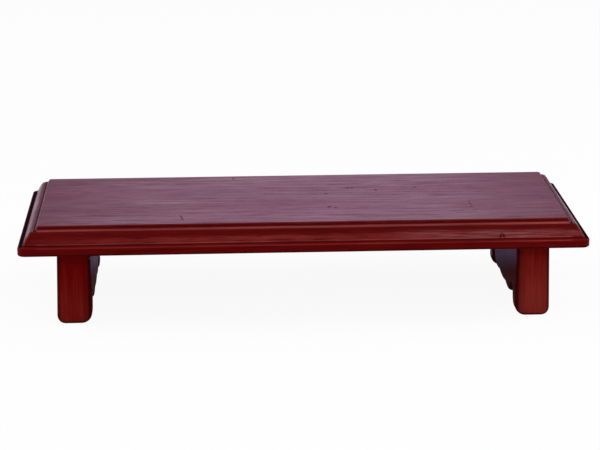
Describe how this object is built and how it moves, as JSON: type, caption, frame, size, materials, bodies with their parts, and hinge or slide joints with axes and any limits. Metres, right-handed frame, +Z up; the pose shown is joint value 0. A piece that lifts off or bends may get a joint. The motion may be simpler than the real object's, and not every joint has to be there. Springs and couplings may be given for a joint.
{
  "type": "low wooden seat",
  "caption": "Long, low lacquered wooden seat: a flat top of two boards with a moulded edge, on solid board legs with a scalloped lower edge.",
  "frame": {"origin": "on the floor, under the middle of the seat", "axes": "+X along the seat's length, +Y from its front to its back, +Z up"},
  "size_m": [0.61, 0.235, 0.1098],
  "materials": {
    "top_lacquer": "glossy maroon lacquer over fine-grained wood",
    "leg_lacquer": "maroon lacquer over fine-grained wood, a little less glossy",
    "screw_steel": "plain zinc-plated steel",
    "dowel_wood": "bare turned wood"
  },
  "bodies": {
    "root": {"seat_board": "top_lacquer", "base_board": "top_lacquer", "leg_left": "leg_lacquer", "leg_right": "leg_lacquer", "leg_screw_left_front": "screw_steel", "leg_screw_left_middle": "screw_steel", "leg_screw_left_back": "screw_steel", "leg_screw_right_front": "screw_steel", "leg_screw_right_middle": "screw_steel", "leg_screw_right_back": "screw_steel", "seat_screw_left_front": "screw_steel", "seat_screw_left_back": "screw_steel", "seat_screw_centre_front": "screw_steel", "seat_screw_centre_back": "screw_steel", "seat_screw_right_front": "screw_steel", "seat_screw_right_back": "screw_steel", "dowel_left_front": "dowel_wood", "dowel_left_back": "dowel_wood", "dowel_right_front": "dowel_wood", "dowel_right_back": "dowel_wood"}
  },
  "joints": []
}
